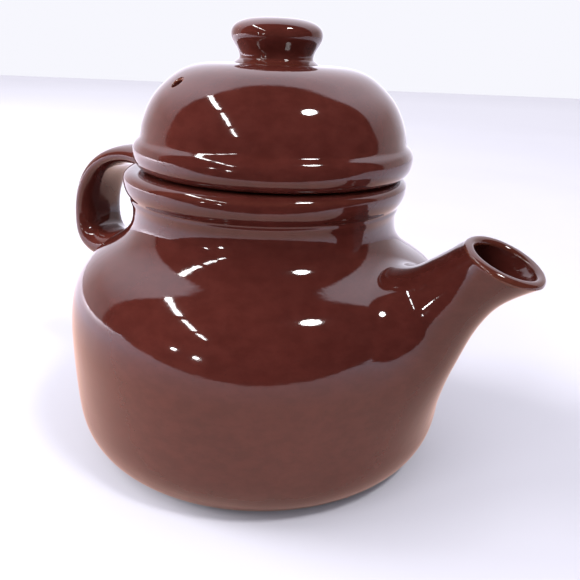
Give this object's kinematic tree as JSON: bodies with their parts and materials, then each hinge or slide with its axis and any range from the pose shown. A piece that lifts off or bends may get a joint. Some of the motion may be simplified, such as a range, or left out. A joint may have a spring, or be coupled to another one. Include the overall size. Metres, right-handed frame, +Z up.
{
  "type": "teapot infuser",
  "caption": "Glazed stoneware teapot with a side spout, strap handle, domed lid with a round knob, and a lift-out perforated steel infuser basket.",
  "frame": {"origin": "middle of the foot, on the surface that the pot stands on", "axes": "+Z up, +X along the spout, the handle at -X"},
  "size_m": [0.2152, 0.1514, 0.1658],
  "materials": {
    "glaze": "deep red-brown gloss glaze",
    "steel": "fine satin"
  },
  "bodies": {
    "pot": {"pot_body": "glaze", "spout": "glaze", "handle": "glaze"},
    "infuser": {"infuser_rim": "steel", "infuser_wall": "steel", "infuser_floor": "steel"},
    "lid": {"lid_dome": "glaze", "lid_knob": "glaze"}
  },
  "joints": [
    {"name": "infuser_lift", "type": "slide", "parent": "pot", "child": "infuser", "axis": [0, 0, 1], "range_m": [0, 0.08]},
    {"name": "lid_lift", "type": "slide", "parent": "infuser", "child": "lid", "axis": [0, 0, 1], "range_m": [0, 0.05]}
  ]
}
